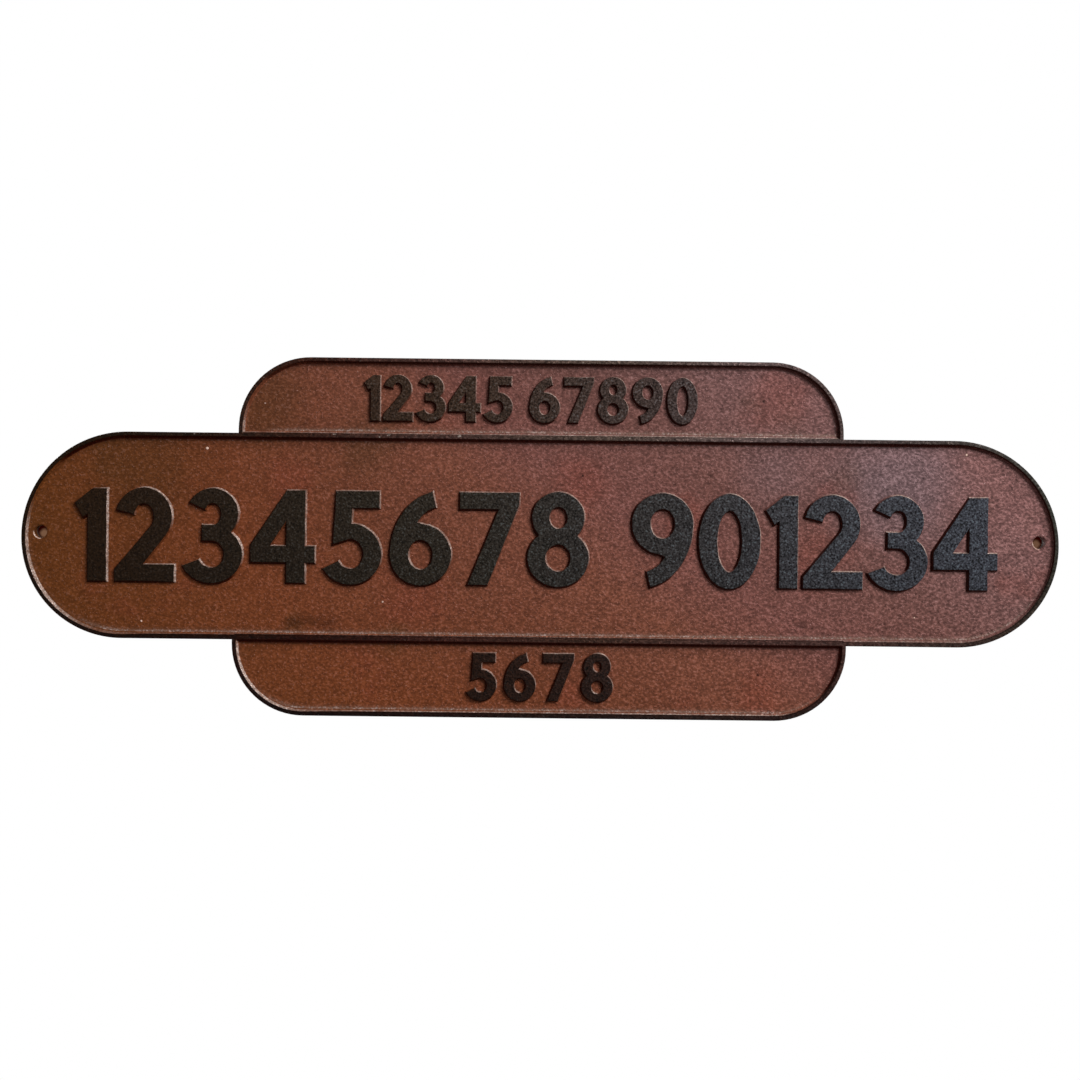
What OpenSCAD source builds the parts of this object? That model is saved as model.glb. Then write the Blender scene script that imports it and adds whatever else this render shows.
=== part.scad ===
// Cast iron wall sign in the shape of a railway totem: a round-ended bar crossed
// by an upper and a lower lobe, each with a raised rim. It is drawn lying on its
// back, with the wall at height 0 and the face upwards. upright() then turns the
// face towards -Y and puts the origin midway between the screw holes, on the wall.

/* [Outline] */
// Length of the bar from tip to tip
sign_l = 420; // [380:1:460]
// Height of the bar
bar_h = 84.1; // [76:0.1:92]
// How far the tips of the bar sit below its middle
tip_drop = 0.9; // [0:0.1:2]
// Width of the upper lobe
upper_w = 245.2; // [220:0.1:260]
// How far the upper lobe stands out above the bar
upper_h = 30.9; // [30.5:0.1:38]
// Width of the lower lobe
lower_w = 248.9; // [220:0.1:260]
// How far the lower lobe stands out below the bar
lower_h = 30.5; // [30.5:0.1:38]
// Radius of the lobes' corners
corner_r = 29.4; // [20:0.2:29.8]

/* [Casting] */
// Height of the rims above the wall
rim_z = 7.4; // [7:0.1:10]
// Height of the rims above the painted fields
relief = 2.2; // [1.8:0.1:3]
// Thickness of the web behind the fields
web_t = 3.6; // [3:0.1:4]
// Width of a rim's face, between its sharp corners
face_w = 1.5; // [1.2:0.1:2.5]
// Width of the lip that bears on the wall
lip_w = 5; // [4:0.1:6]
// Draft of the outer edge, in degrees
edge_draft = 3; // [1:0.5:5]
// Draft of the raised work's flanks, in degrees
flank_draft = 20; // [10:1:25]
// Radius that rounds the raised work's corners
round_r = 0.5; // [0.3:0.05:0.55]
// Radius that fills the foot of the raised work
foot_r = 0.6; // [0.3:0.05:0.8]

/* [Screw holes] */
// Distance from each tip of the bar to the centre of its hole
hole_inset = 7.5; // [7.5:0.1:14]
// How far the holes sit above the middle of the bar
hole_rise = 1; // [0:0.1:3]
// Diameter of the holes
hole_d = 5.2; // [4:0.1:5.6]
// Width of the broken edge round the front of a hole
mouth = 0.4; // [0.2:0.1:0.6]
// Diameter of the pad behind a hole
pad_d = 13; // [11:0.5:13]

/* [Hidden] */
$fn = 96;

field_paint = "sienna";
rim_paint = "darkslategray";
back_paint = "dimgray";

field_z = rim_z - relief;                        // front of the fields
pocket = field_z - web_t;                        // depth of the hollow back
half_h = bar_h / 2;
hole_x = sign_l / 2 - hole_inset;
upper = [upper_w, upper_h];
lower = [lower_w, lower_h];
arc_steps = 5;                                   // facets round one small corner
through = 1;                                     // a cutter passes a face by this much

// Distances u run inwards from the outer edge, square to it.
edge_u = (rim_z - pocket) * tan(edge_draft);     // outer corner of a rim's face
face_u = edge_u + face_w;                        // inner corner of a rim's face
flank_w = (relief - foot_r) * tan(flank_draft) + foot_r / cos(flank_draft);
foot_u = face_u + flank_w;                       // a flank ends on the field
butt_u = edge_u + face_w / 2;                    // an end rim stops and a divider starts
seat_u = 0.6;                                    // a lobe's rim runs this far into the bar's

// Radius of the bar's ends above their tips, for side 1, and below them, for side -1.
function end_r(side) = half_h + side * tip_drop;
function end_x(side) = sign_l / 2 - end_r(side);
function half_w(lobe) = lobe[0] / 2 - butt_u;
function corner_x(lobe) = lobe[0] / 2 - corner_r;
function corner_y(lobe) = half_h + lobe[1] - corner_r;

// Points on an arc about c, from angle a to angle b.
function arc_points(c, r, a, b) =
    [for (i = [0:arc_steps]) let (t = a + (b - a) * i / arc_steps) c + r * [cos(t), sin(t)]];

function reversed(points) = [for (i = [len(points) - 1:-1:0]) points[i]];

// A flank of the raised work, as [distance past the face's sharp corner, height]:
// the rounded corner, the drafted wall and the filled foot.
function flank() =
    let (corner = [round_r * (tan(flank_draft) - 1 / cos(flank_draft)), rim_z - round_r])
    let (foot = [flank_w, field_z + foot_r])
    concat(
        arc_points(corner, round_r, 90, flank_draft),
        arc_points(foot, foot_r, 180 + flank_draft, 270)
    );

// The outer corner of a rim, rounded above its slightly drafted edge.
function outer_corner() =
    let (z = rim_z - round_r)
    let (corner = [(z - pocket) * tan(edge_draft) + round_r / cos(edge_draft), z])
    arc_points(corner, round_r, 180 - edge_draft, 90);

// Section of a rim as [u, height]: outer edge, face, and a flank down to the field.
function rim_section() = concat(
    [[0, pocket]],
    outer_corner(),
    [for (p = flank()) [face_u + p[0], p[1]]],
    [[foot_u, pocket]]
);

// Section of a divider: the same face with a flank on both sides.
function divider_section() = concat(
    [[edge_u - flank_w, pocket]],
    reversed([for (p = flank()) [edge_u - p[0], p[1]]]),
    [for (p = flank()) [face_u + p[0], p[1]]],
    [[foot_u, pocket]]
);

// A section set up to be carried round an outer edge of radius r.
module profile(section, r) {
    polygon([for (p = section) [r - p[0], p[1]]]);
}

// A section carried round a bend, from the +X direction towards +Y.
module bend(section, r, angle) {
    rotate_extrude(angle = angle) profile(section, r);
}

// A section carried straight on from the start of a bend, towards -Y.
module run(section, r, l) {
    rotate([90, 0, 0]) linear_extrude(l) profile(section, r);
}

// A section carried along +X from x = 0, with its outer edge at y = r.
module rail(section, r, l) {
    rotate([0, 0, 90]) run(section, r, l);
}

module upright() {
    rotate([90, 0, 0]) translate([0, -hole_rise, 0]) children();
}

// Draws its children the right way up for side 1, and upside down for side -1.
module facing(side) {
    mirror([0, side < 0 ? 1 : 0, 0]) children();
}

// Outline of the bar on one side of its tips, moved in by inset.
module half_bar_outline(side, inset) {
    x = end_x(side);
    r = end_r(side) - inset;
    translate([-x, 0]) square([2 * x, r]);
    for (cx = [-x, x]) translate([cx, 0]) intersection() {
        circle(r = r);
        translate([-r, 0]) square([2 * r, r]);
    }
}

module bar_outline(inset) {
    for (side = [1, -1]) facing(side) translate([0, -side * tip_drop]) half_bar_outline(side, inset);
}

// Outline of a lobe, moved in by inset and carried down to the middle of the bar.
module lobe_outline(lobe, inset) {
    x = corner_x(lobe);
    y = corner_y(lobe);
    r = corner_r - inset;
    translate([-x - r, 0]) square([2 * (x + r), y]);
    translate([-x, 0]) square([2 * x, y + r]);
    for (cx = [-x, x]) translate([cx, y]) circle(r = r);
}

// Outline of the whole plate, moved in by inset.
module plate_outline(inset) {
    bar_outline(inset);
    lobe_outline(upper, inset);
    facing(-1) lobe_outline(lower, inset);
}

module at_holes() {
    for (x = [-hole_x, hole_x]) translate([x, hole_rise, 0]) children();
}

// A screw hole, with the edge of its mouth broken.
module screw_hole() {
    translate([0, 0, -through]) cylinder(d = hole_d, h = rim_z + 2 * through);
    translate([0, 0, field_z - mouth]) cylinder(d1 = hole_d, d2 = hole_d + 2 * mouth, h = mouth);
}

// Web of the bar, drilled for the two screws.
module centre_field() {
    color(field_paint) upright() difference() {
        translate([0, 0, pocket]) linear_extrude(web_t) bar_outline(foot_u);
        at_holes() screw_hole();
    }
}

// Web of a lobe, from its divider out to its rim.
module lobe_field(side, lobe) {
    near = half_h - edge_u + flank_w;
    color(field_paint) upright() facing(side) translate([0, 0, pocket]) linear_extrude(web_t)
        intersection() {
            lobe_outline(lobe, foot_u);
            translate([-lobe[0] / 2, near]) square(lobe);
        }
}

// Rim round the right-hand end of the bar, as far as the two dividers.
module end_rim_body() {
    for (side = [1, -1]) facing(side) {
        near = half_w(side > 0 ? upper : lower);
        translate([end_x(side), -side * tip_drop, 0]) bend(rim_section(), end_r(side), 90);
        translate([near, 0, 0]) rail(rim_section(), half_h, end_x(side) - near);
    }
}

module end_rim(side) {
    color(rim_paint) upright() mirror([side < 0 ? 1 : 0, 0, 0]) end_rim_body();
}

// Bead between the bar and a lobe.
module divider_body(lobe) {
    translate([-half_w(lobe), 0, 0]) rail(divider_section(), half_h, 2 * half_w(lobe));
}

module divider(side, lobe) {
    color(rim_paint) upright() facing(side) divider_body(lobe);
}

// Rim round a lobe, with its two feet cut to seat on the bar's rims and divider.
module lobe_rim(side, lobe) {
    x = corner_x(lobe);
    y = corner_y(lobe);
    color(rim_paint) upright() difference() {
        facing(side) {
            for (turn = [0, 1]) mirror([turn, 0, 0]) translate([x, y, 0]) {
                bend(rim_section(), corner_r, 90);
                run(rim_section(), corner_r, y - half_h + seat_u);
            }
            translate([-x, y, 0]) rail(rim_section(), corner_r, 2 * x);
        }
        facing(side) divider_body(lobe);
        for (turn = [0, 1]) mirror([turn, 0, 0]) end_rim_body();
    }
}

// Lip round the hollow back, which bears on the wall.
module wall_lip() {
    color(back_paint) upright() linear_extrude(pocket) difference() {
        plate_outline(0);
        plate_outline(lip_w);
        at_holes() circle(d = pad_d);
    }
}

// Pad behind a screw hole, so that the screw pulls the plate straight to the wall.
module screw_pad(side) {
    color(back_paint) upright() translate([side * hole_x, hole_rise, 0]) difference() {
        cylinder(d = pad_d, h = pocket);
        screw_hole();
    }
}

centre_field();
lobe_field(1, upper);  // upper_field
lobe_field(-1, lower);  // lower_field
end_rim(-1);  // left_end_rim
end_rim(1);  // right_end_rim
lobe_rim(1, upper);  // upper_rim
lobe_rim(-1, lower);  // lower_rim
divider(1, upper);  // upper_divider
divider(-1, lower);  // lower_divider
wall_lip();
screw_pad(-1);  // left_screw_pad
screw_pad(1);  // right_screw_pad
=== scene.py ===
# %% [markdown]
# # A cast iron railway sign
# The real sign is one sand casting: a bar with round ends, crossed by two lobes, with a raised
# rim round each field and raised characters on the fields. It is sprayed red-brown all over, and
# a roller then puts black on everything that stands proud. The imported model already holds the
# plate and its rims, so this script adds what paint, wear and the pattern maker's characters do.
# The first cell loads that model. Its pieces stay where they are, and lengths are in metres.

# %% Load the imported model
import math

import bpy
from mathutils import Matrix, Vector


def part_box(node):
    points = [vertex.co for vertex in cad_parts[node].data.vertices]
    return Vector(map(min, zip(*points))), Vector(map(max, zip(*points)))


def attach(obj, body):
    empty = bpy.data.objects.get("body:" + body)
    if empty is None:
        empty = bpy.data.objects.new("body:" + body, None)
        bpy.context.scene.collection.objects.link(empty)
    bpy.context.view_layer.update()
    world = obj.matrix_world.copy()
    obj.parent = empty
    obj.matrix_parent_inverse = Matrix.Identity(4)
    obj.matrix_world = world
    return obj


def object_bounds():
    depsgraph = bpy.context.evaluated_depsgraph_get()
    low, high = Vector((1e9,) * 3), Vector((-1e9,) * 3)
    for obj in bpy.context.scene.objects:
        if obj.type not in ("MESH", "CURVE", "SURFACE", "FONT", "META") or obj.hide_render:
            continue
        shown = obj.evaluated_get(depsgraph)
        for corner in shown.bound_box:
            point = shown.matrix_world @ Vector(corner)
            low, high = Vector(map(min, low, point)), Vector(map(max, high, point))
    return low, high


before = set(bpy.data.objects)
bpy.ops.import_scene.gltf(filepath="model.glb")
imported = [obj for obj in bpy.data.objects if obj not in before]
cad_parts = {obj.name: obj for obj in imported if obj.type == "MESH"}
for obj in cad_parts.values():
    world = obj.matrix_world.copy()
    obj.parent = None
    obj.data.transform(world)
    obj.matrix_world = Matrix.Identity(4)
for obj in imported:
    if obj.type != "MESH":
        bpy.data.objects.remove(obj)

MM = 0.001
cad_box = [list(corner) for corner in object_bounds()]


def in_mm(box):
    """The corners of a box in mm, for printing."""
    return [[round(v / MM, 2) for v in corner] for corner in box]


print("nodes:", ", ".join(sorted(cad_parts)))
print("box in mm:", in_mm(cad_box))

# %% [markdown]
# Everything that follows is placed from a few planes of the casting, so they are read from the
# model instead of being written again: the wall behind, the painted fields, and the faces of the
# rims, which are as high as the characters.

# %% Planes of the casting
bar_low, bar_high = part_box("left_end_rim")
FIELD_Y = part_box("centre_field")[0].y      # front of the painted fields
FACE_Y = bar_low.y                         # faces of the rims, nearest the viewer
RELIEF = FIELD_Y - FACE_Y
BAR_Z = (bar_low.z + bar_high.z) / 2       # middle of the bar
BAR_R = (bar_high.z - bar_low.z) / 2       # from there to the bar's outer edge
LENGTH = cad_box[1][0] - cad_box[0][0]
print(f"relief {RELIEF / MM:.2f} mm, middle of the bar at z {BAR_Z / MM:.2f} mm")

# %% [markdown]
# ## Camera
# The photograph looks straight at the face, from a little over half a metre, and it is turned by
# less than a degree, so that the right-hand end hangs lower. The camera goes in first, because
# every later comparison depends on it. Its lens is worked out from the width that the photograph
# takes in at the rims' faces.

# %% Camera
QUARTER = math.pi / 2                      # a quarter turn
VIEW_DISTANCE = 0.65                       # from the wall
VIEW_WIDTH = 0.4363                        # what the frame takes in, at the rims' faces
VIEW_DROP = 0.2 * MM                       # the view's middle lies this far below the bar's
VIEW_ROLL = math.radians(0.65)
NEAREST = 0.01                             # nothing nearer to the lens is drawn

bpy.ops.object.camera_add(
    location=(0, -VIEW_DISTANCE, BAR_Z - VIEW_DROP), rotation=(QUARTER, -VIEW_ROLL, 0))
camera = bpy.context.object
camera.name = "view"
camera.data.sensor_fit = "HORIZONTAL"
camera.data.lens = camera.data.sensor_width * (VIEW_DISTANCE + FACE_Y) / VIEW_WIDTH
camera.data.clip_start = NEAREST
bpy.context.scene.camera = camera
bpy.context.scene.view_settings.view_transform = "Standard"
print("lens", round(camera.data.lens, 1), "mm")

# %% [markdown]
# ## Characters
# A pattern maker pins separate metal characters to the pattern, with sloping sides so that they
# leave the sand. A flat curve gives each one its face, and the face becomes a mesh that is built
# up as by hand, because a curve's own bevel gives one shape of side only. First come a few helpers,
# because an operator acts on all that is selected.

# %% Small helpers for modelling
def only(piece):
    """Leaves edit mode and selects this piece alone."""
    if bpy.context.object and bpy.context.object.mode != "OBJECT":
        bpy.ops.object.mode_set(mode="OBJECT")
    bpy.ops.object.select_all(action="DESELECT")
    bpy.context.view_layer.objects.active = piece
    piece.select_set(True)


def edit(piece, kind):
    """Opens a piece in edit mode, with all of its points, edges or faces selected."""
    only(piece)
    bpy.ops.object.mode_set(mode="EDIT")
    bpy.ops.mesh.select_mode(type=kind)
    bpy.ops.mesh.select_all(action="SELECT")


def place(piece, location=(0, 0, 0), rotation=(0, 0, 0), scale=(1, 1, 1)):
    """Moves a place into the mesh, so that the object itself stays at the origin."""
    only(piece)
    piece.location = location
    piece.rotation_euler = rotation
    piece.scale = scale
    bpy.ops.object.transform_apply(location=True, rotation=True, scale=True)


def copy(piece, name):
    """A copy with its own mesh."""
    only(piece)
    bpy.ops.object.duplicate()
    twin = bpy.context.object
    twin.name = twin.data.name = name
    return twin


def width(piece):
    """How far a piece reaches to the right of x = 0."""
    return max(point.co.x for point in piece.data.vertices)


# %% [markdown]
# A ready-made font, made bolder by an offset, folds over itself in its notches, and then its sides
# can't be spread. So the figures are drawn here as a pattern maker would set them out: with a rule
# and with parts of ovals. A part of an oval gets a longer step at each end, so that the corner where
# it meets the next line has no sliver of a face in it.

# %% Parts of ovals
FACET = 11                                 # degrees from the end of an oval to its next point
FINE = 6                                   # degrees between the other points


def oval(middle, radii, start=0, end=360):
    """Points on part of an oval, anticlockwise where the end is greater than the start."""
    turn = end - start
    closed = abs(turn) == 360
    first = 0 if closed else min(FACET, abs(turn) / 2) / abs(turn)
    count = max(1, round(abs(turn) * (1 - 2 * first) / FINE))
    parts = [first + (1 - 2 * first) * step / count for step in range(count + (not closed))]
    if not closed:
        parts = [0] + parts + [1]
    angles = [math.radians(start + turn * part) for part in parts]
    return [(middle[0] + radii[0] * math.cos(a), middle[1] + radii[1] * math.sin(a)) for a in angles]


print("a whole oval has", len(oval((0, 0), (1, 1))), "points")

# %% [markdown]
# All the figures are 1 high and have one weight of stroke. Each is a list of loops, and a loop
# inside another one is a hole. The 9 is a 6 turned over.

# %% Outlines of the figures
SIX_WIDTH = 0.66
SIX = [
    oval((0.56, 0.315), (0.56, 0.70), 180, 101)
    + oval((0.56, 0.315), (0.37, 0.54), 101, 139)
    + oval((0.33, 0.315), (0.33, 0.33), 84, -175),
    oval((0.33, 0.315), (0.14, 0.17)),
]
FIGURES = {
    "1": [[(0.145, 0), (0.335, 0), (0.335, 1), (0.19, 1), (0, 0.845), (0.085, 0.70), (0.145, 0.745)]],
    "2": [oval((0.31, 0.70), (0.30, 0.315), 165, -38)
          + [(0.285, 0.17), (0.64, 0.17), (0.64, 0), (0, 0), (0, 0.12)]
          + oval((0.31, 0.70), (0.115, 0.155), -38, 165)],
    "3": [oval((0.319, 0.738), (0.275, 0.277), 152, -43)
          + oval((0.304, 0.295), (0.335, 0.31), 50, -155)
          + oval((0.304, 0.295), (0.15, 0.155), -155, 90)
          + [(0.21, 0.45), (0.21, 0.611)]
          + oval((0.319, 0.738), (0.10, 0.127), -90, 152)],
    "4": [[(0.393, 0), (0.584, 0), (0.584, 0.222), (0.692, 0.222), (0.692, 0.39), (0.584, 0.39),
           (0.584, 1), (0.393, 1), (0, 0.402), (0, 0.222), (0.393, 0.222)],
          [(0.191, 0.39), (0.393, 0.39), (0.393, 0.70)]],
    "5": [[(0.14, 1), (0.60, 1), (0.60, 0.83), (0.305, 0.83)]
          + oval((0.29, 0.315), (0.335, 0.33), 89, -150)
          + oval((0.29, 0.315), (0.15, 0.17), -150, 115)
          + [(0.105, 0.43)]],
    "6": SIX,
    "7": [[(0, 1), (0.64, 1), (0.64, 0.88), (0.30, 0), (0.095, 0), (0.43, 0.83), (0, 0.83)]],
    "8": [oval((0.33, 0.738), (0.28, 0.277), 223, -43) + oval((0.33, 0.295), (0.33, 0.31), 50, -230),
          oval((0.33, 0.738), (0.105, 0.127)), oval((0.33, 0.295), (0.145, 0.155))],
    "9": [[(SIX_WIDTH - x, 1 - y) for x, y in loop] for loop in SIX],
    "0": [oval((0.333, 0.5), (0.333, 0.515)), oval((0.333, 0.5), (0.143, 0.345))],
}
print(len(FIGURES), "figures are drawn")

# %% [markdown]
# Sand will push the outlines about later, so a long straight line needs points along it too. They
# stay clear of its corners. Then a filled curve carries the loops and is turned into a mesh, which
# can come out facing down, and is turned over if it does.

# %% Flat figures
STEP = 0.07                                # between two points of a straight line
CLEAR = 0.15                               # such points stay this far from its ends


def stepped(loop):
    """The same loop with points set along its long lines, clear of the corners."""
    points = []
    for start, end in zip(loop, loop[1:] + loop[:1]):
        length = math.dist(start, end)
        count = max(1, int(length / STEP))
        parts = [n / count for n in range(count)]
        parts = [part for part in parts
                 if part == 0 or CLEAR <= part * length <= length - CLEAR]
        points += [(start[0] + (end[0] - start[0]) * part,
                    start[1] + (end[1] - start[1]) * part) for part in parts]
    return points


def flat_figure(character):
    """A flat mesh of one figure, 1 m high, which faces up and has its left foot at the origin."""
    curve = bpy.data.curves.new("loops", "CURVE")
    curve.dimensions = "2D"
    curve.fill_mode = "BOTH"
    for loop in [stepped(loop) for loop in FIGURES[character]]:
        spline = curve.splines.new("POLY")
        spline.points.add(len(loop) - 1)
        for point, (x, y) in zip(spline.points, loop):
            point.co = (x, y, 0, 1)
        spline.use_cyclic_u = True
    piece = bpy.data.objects.new("loops", curve)
    bpy.context.collection.objects.link(piece)
    only(piece)
    bpy.ops.object.convert(target="MESH")
    piece = bpy.context.object
    place(piece, location=(-min(point.co.x for point in piece.data.vertices), 0, 0))
    if piece.data.polygons[0].normal.z < 0:
        edit(piece, "FACE")
        bpy.ops.mesh.flip_normals()
        bpy.ops.object.mode_set(mode="OBJECT")
    return piece


flat = {character: flat_figure(character) for character in FIGURES}
print("widths of the figures:", {name: round(width(piece), 3) for name, piece in flat.items()})

# %% [markdown]
# The side of a cast character has three parts: a rounded arris, a sloping wall, and a fillet that
# fills its foot. It is written as a list of steps, each outwards and down. Small characters get a
# steeper side, so that they stay apart.

# %% Section of a character's side
SUNK = 0.2 * MM                            # how far a character goes into the plate
STEPS = 3                                  # facets round an arris or a fillet


def arc(radius, start, end):
    """Steps round an arc, as lengths outwards and down."""
    angles = [start + (end - start) * step / STEPS for step in range(STEPS + 1)]
    return [(abs(math.cos(b) - math.cos(a)) * radius, abs(math.sin(b) - math.sin(a)) * radius)
            for a, b in zip(angles, angles[1:])]


def side(arris, fillet, draft):
    """Steps from a character's face down into the plate, from two radii and a slope."""
    wall = RELIEF - (arris + fillet) * (1 - math.sin(draft))
    return (arc(arris, QUARTER, draft) + [(wall * math.tan(draft), wall)]
            + arc(fillet, draft, QUARTER) + [(0, SUNK)])


LARGE_SIDE = side(arris=0.30 * MM, fillet=0.30 * MM, draft=math.radians(12))
SMALL_SIDE = side(arris=0.22 * MM, fillet=0.22 * MM, draft=math.radians(9))
for name, steps in (("large", LARGE_SIDE), ("small", SMALL_SIDE)):
    print(name, "characters widen by", round(sum(out for out, down in steps) / MM, 2), "mm")

# %% [markdown]
# A character is built up from its face. For each step, the open edge is extruded straight down, and
# shrink/fatten with even offset spreads the new ring, which keeps corners sharp and strokes even.
# An inset would be the obvious tool for the arris, but it turns thin triangles of the face over.
# Last, cloudy noise pushes the outline about a little, as the sand does.

# %% Build up one figure
WOBBLE = bpy.data.textures.new("sand_edge", "CLOUDS")
WOBBLE.noise_scale = 3 * MM
EDGE_REACH = 0.012                         # how far an outline is pushed, as a part of its height
LARGE_FROM = 25 * MM                       # figures above this height get the large side
SHARP_FROM = math.radians(40)              # edges that turn by more than this stay sharp


def roughen(piece, axis_name, reach):
    """Lets the sand push an outline about along one axis."""
    only(piece)
    bpy.ops.object.modifier_add(type="DISPLACE")
    displace = piece.modifiers[-1]
    displace.texture = WOBBLE
    displace.texture_coords = "LOCAL"
    displace.direction = axis_name
    displace.strength = reach
    bpy.ops.object.modifier_apply(modifier=displace.name)


def cast(character, height):
    """A figure of this height, standing on the field with its left foot at x = z = 0."""
    piece = copy(flat[character], f"cast_{character}")
    place(piece, scale=[height] * 3)
    edit(piece, "EDGE")
    bpy.ops.mesh.select_all(action="DESELECT")
    bpy.ops.mesh.select_non_manifold()
    bpy.ops.mesh.mark_sharp()              # keeps the shading of the face flat
    for out, down in LARGE_SIDE if height > LARGE_FROM else SMALL_SIDE:
        bpy.ops.mesh.extrude_edges_move(TRANSFORM_OT_translate={"value": (0, 0, -down)})
        bpy.ops.transform.shrink_fatten(value=out, use_even_offset=True)
    bpy.ops.mesh.fill()
    bpy.ops.mesh.select_all(action="SELECT")
    bpy.ops.mesh.normals_make_consistent(inside=False)
    for axis_name in ("X", "Y"):
        roughen(piece, axis_name, EDGE_REACH * height)
    place(piece, rotation=(QUARTER, 0, 0), location=(0, FACE_Y, 0))
    bpy.ops.object.shade_smooth_by_angle(angle=SHARP_FROM)
    return piece


# %% [markdown]
# Every row fills the same length as the photograph's row, with even gaps between its figures. An
# Array modifier repeats one shape only, so each figure is built once per size, and its copies are
# moved to their places. They ride on the sign, and their finish is that of the rims.

# %% Rows of figures
ROWS = {                                   # figures, left end, right end, height, middle, in mm
    "bar_left": ("12345678", -187.9, 19.4, 36.8, 0),
    "bar_right": ("901234", 37.3, 184.7, 36.8, 0),
    "upper_left": ("12345", -71.5, -12.0, 17.9, 56.5),
    "upper_right": ("67890", -4.7, 62.9, 17.9, 56.5),
    "lower": ("5678", -28.9, 29.8, 18.6, -55.7),
}
models = {}
figures = []


def model(character, height):
    """The model of a figure at one size, which is built the first time it is asked for."""
    if (character, height) not in models:
        models[character, height] = cast(character, height * MM)
    return models[character, height]


def set_row(row, characters, left, right, height, middle):
    """Copies of the figures of a row, set out between its two ends."""
    widths = [width(flat[character]) * height for character in characters]
    gap = (right - left - sum(widths)) / (len(characters) - 1)
    foot = BAR_Z / MM + middle - height / 2
    for place_no, character in enumerate(characters):
        piece = copy(model(character, height), f"{row}_figure_{place_no + 1}")
        place(piece, location=(left * MM, 0, foot * MM))
        left += widths[place_no] + gap
        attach(piece, "root")
        figures.append(piece)
    print(row, "has a gap of", round(gap, 1), "mm")


for row, figures_of_row in ROWS.items():
    set_row(row, *figures_of_row)
for piece in list(flat.values()) + list(models.values()):
    bpy.data.objects.remove(piece)
print(len(figures), "figures of", max(len(p.data.polygons) for p in figures), "faces at most")

# %% [markdown]
# A few loose grains of the mould were cast in with the fields. They stand up as small lumps, and
# the paint is rubbed off them. A bump in the paint would be flat from the side, so they are pieces.
# Each one starts as a sphere that is flattened, pushed out of shape by the same noise as the
# characters, and sunk half into its field.

# %% Lumps on the fields
LUMPS = [(-135.3, 35.5, 0.75), (-161.2, -34.8, 0.55), (172.5, 36.2, 0.6), (-63.5, -26, 0.55),
         (-112, 54, 0.45), (152, -30, 0.45)]       # x and z from the middle of the bar, radius, in mm
LUMP_SHAPE = (1, 0.6, 0.85)
LUMP_REACH = 0.5                           # how far it is pushed about, as a part of its radius
LUMP_SUNK = 0.1 * MM                       # its middle lies this far below the paint
lumps = []
for number, (x, z, radius) in enumerate(LUMPS):
    bpy.ops.object.select_all(action="DESELECT")
    bpy.ops.mesh.primitive_uv_sphere_add(segments=12, ring_count=8, radius=radius * MM)
    lump = bpy.context.object
    lump.name = lump.data.name = f"lump_{number + 1}"
    place(lump, scale=LUMP_SHAPE, rotation=(0, number, 0))     # no two lie the same way round
    for axis_name in ("X", "Y", "Z"):
        roughen(lump, axis_name, LUMP_REACH * radius * MM)
    place(lump, location=(x * MM, FIELD_Y + LUMP_SUNK, BAR_Z + z * MM))
    bpy.ops.object.shade_smooth()
    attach(lump, "root")
    lumps.append(lump)
print(len(lumps), "lumps")

# %% [markdown]
# ## Finishes
# The colours and the grain come from nodes. A material's maths is easier to read as sums, so this
# small class wraps a socket: an expression on it adds its Math nodes, and every other kind of node
# comes from its one method, which makes the settings first and then fills or links the sockets.

# %% Shader maths
class Wire:
    """A socket of a node tree that can be used in a sum."""

    def __init__(self, tree, socket=None):
        self.tree = tree
        self.socket = socket

    def node(self, kind, settings=None, inputs=None, output=0):
        added = self.tree.nodes.new(kind)
        for name, value in (settings or {}).items():
            if name == "stops":
                set_stops(added.color_ramp, value)
            else:
                setattr(added, name, value)
        for name, value in (inputs or {}).items():
            if isinstance(value, Wire):
                self.tree.links.new(value.socket, added.inputs[name])
            else:
                added.inputs[name].default_value = value
        return Wire(self.tree, added.outputs[output] if added.outputs else None)

    def maths(self, operation, *values):
        return self.node("ShaderNodeMath", {"operation": operation}, dict(enumerate(values)))

    def vector(self, operation, *values, output="Vector"):
        return self.node(
            "ShaderNodeVectorMath", {"operation": operation}, dict(enumerate(values)), output)

    def __add__(self, other):
        return self.maths("ADD", self, other)

    def __sub__(self, other):
        return self.maths("SUBTRACT", self, other)

    def __rsub__(self, other):
        return self.maths("SUBTRACT", other, self)

    def __mul__(self, other):
        return self.maths("MULTIPLY", self, other)

    def __truediv__(self, other):
        return self.maths("DIVIDE", self, other)

    __radd__ = __add__
    __rmul__ = __mul__


def larger(value, other):
    return value.maths("MAXIMUM", value, other)


def smaller(value, other):
    return value.maths("MINIMUM", value, other)


def size_of(value):
    """A value without its sign."""
    return value.maths("ABSOLUTE", value)


def sum_of(values):
    """Adds up the wires of a list."""
    total = values[0]
    for value in values[1:]:
        total = total + value
    return total


# %% [markdown]
# Colours are written as a screen shows them, and worked out into the linear values that a node
# wants. Every finish starts from the place on the object, in metres, and ends in the same shader,
# so those two ends are helpers as well.

# %% Start and end of a finish
def colour(code):
    """A colour as a screen shows it, such as 5f3219, turned into a node's linear values."""
    parts = [int(code[start:start + 2], 16) / 255 for start in (0, 2, 4)]
    return [c / 12.92 if c <= 0.04045 else ((c + 0.055) / 1.055) ** 2.4 for c in parts] + [1]


def set_stops(ramp, stops):
    """Sets a ramp's stops, given as {position: colour code}."""
    while len(ramp.elements) < len(stops):
        ramp.elements.new(0)
    for element, position in zip(ramp.elements, stops):
        element.position = position
    for element, code in zip(ramp.elements, stops.values()):
        element.color = colour(code)


def new_finish(name):
    """An empty material, and a wire that carries the place on the object, in metres."""
    finish = bpy.data.materials.new(name)
    finish.use_nodes = True
    finish.node_tree.nodes.clear()
    return finish, Wire(finish.node_tree).node("ShaderNodeTexCoord", output="Object")


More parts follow.
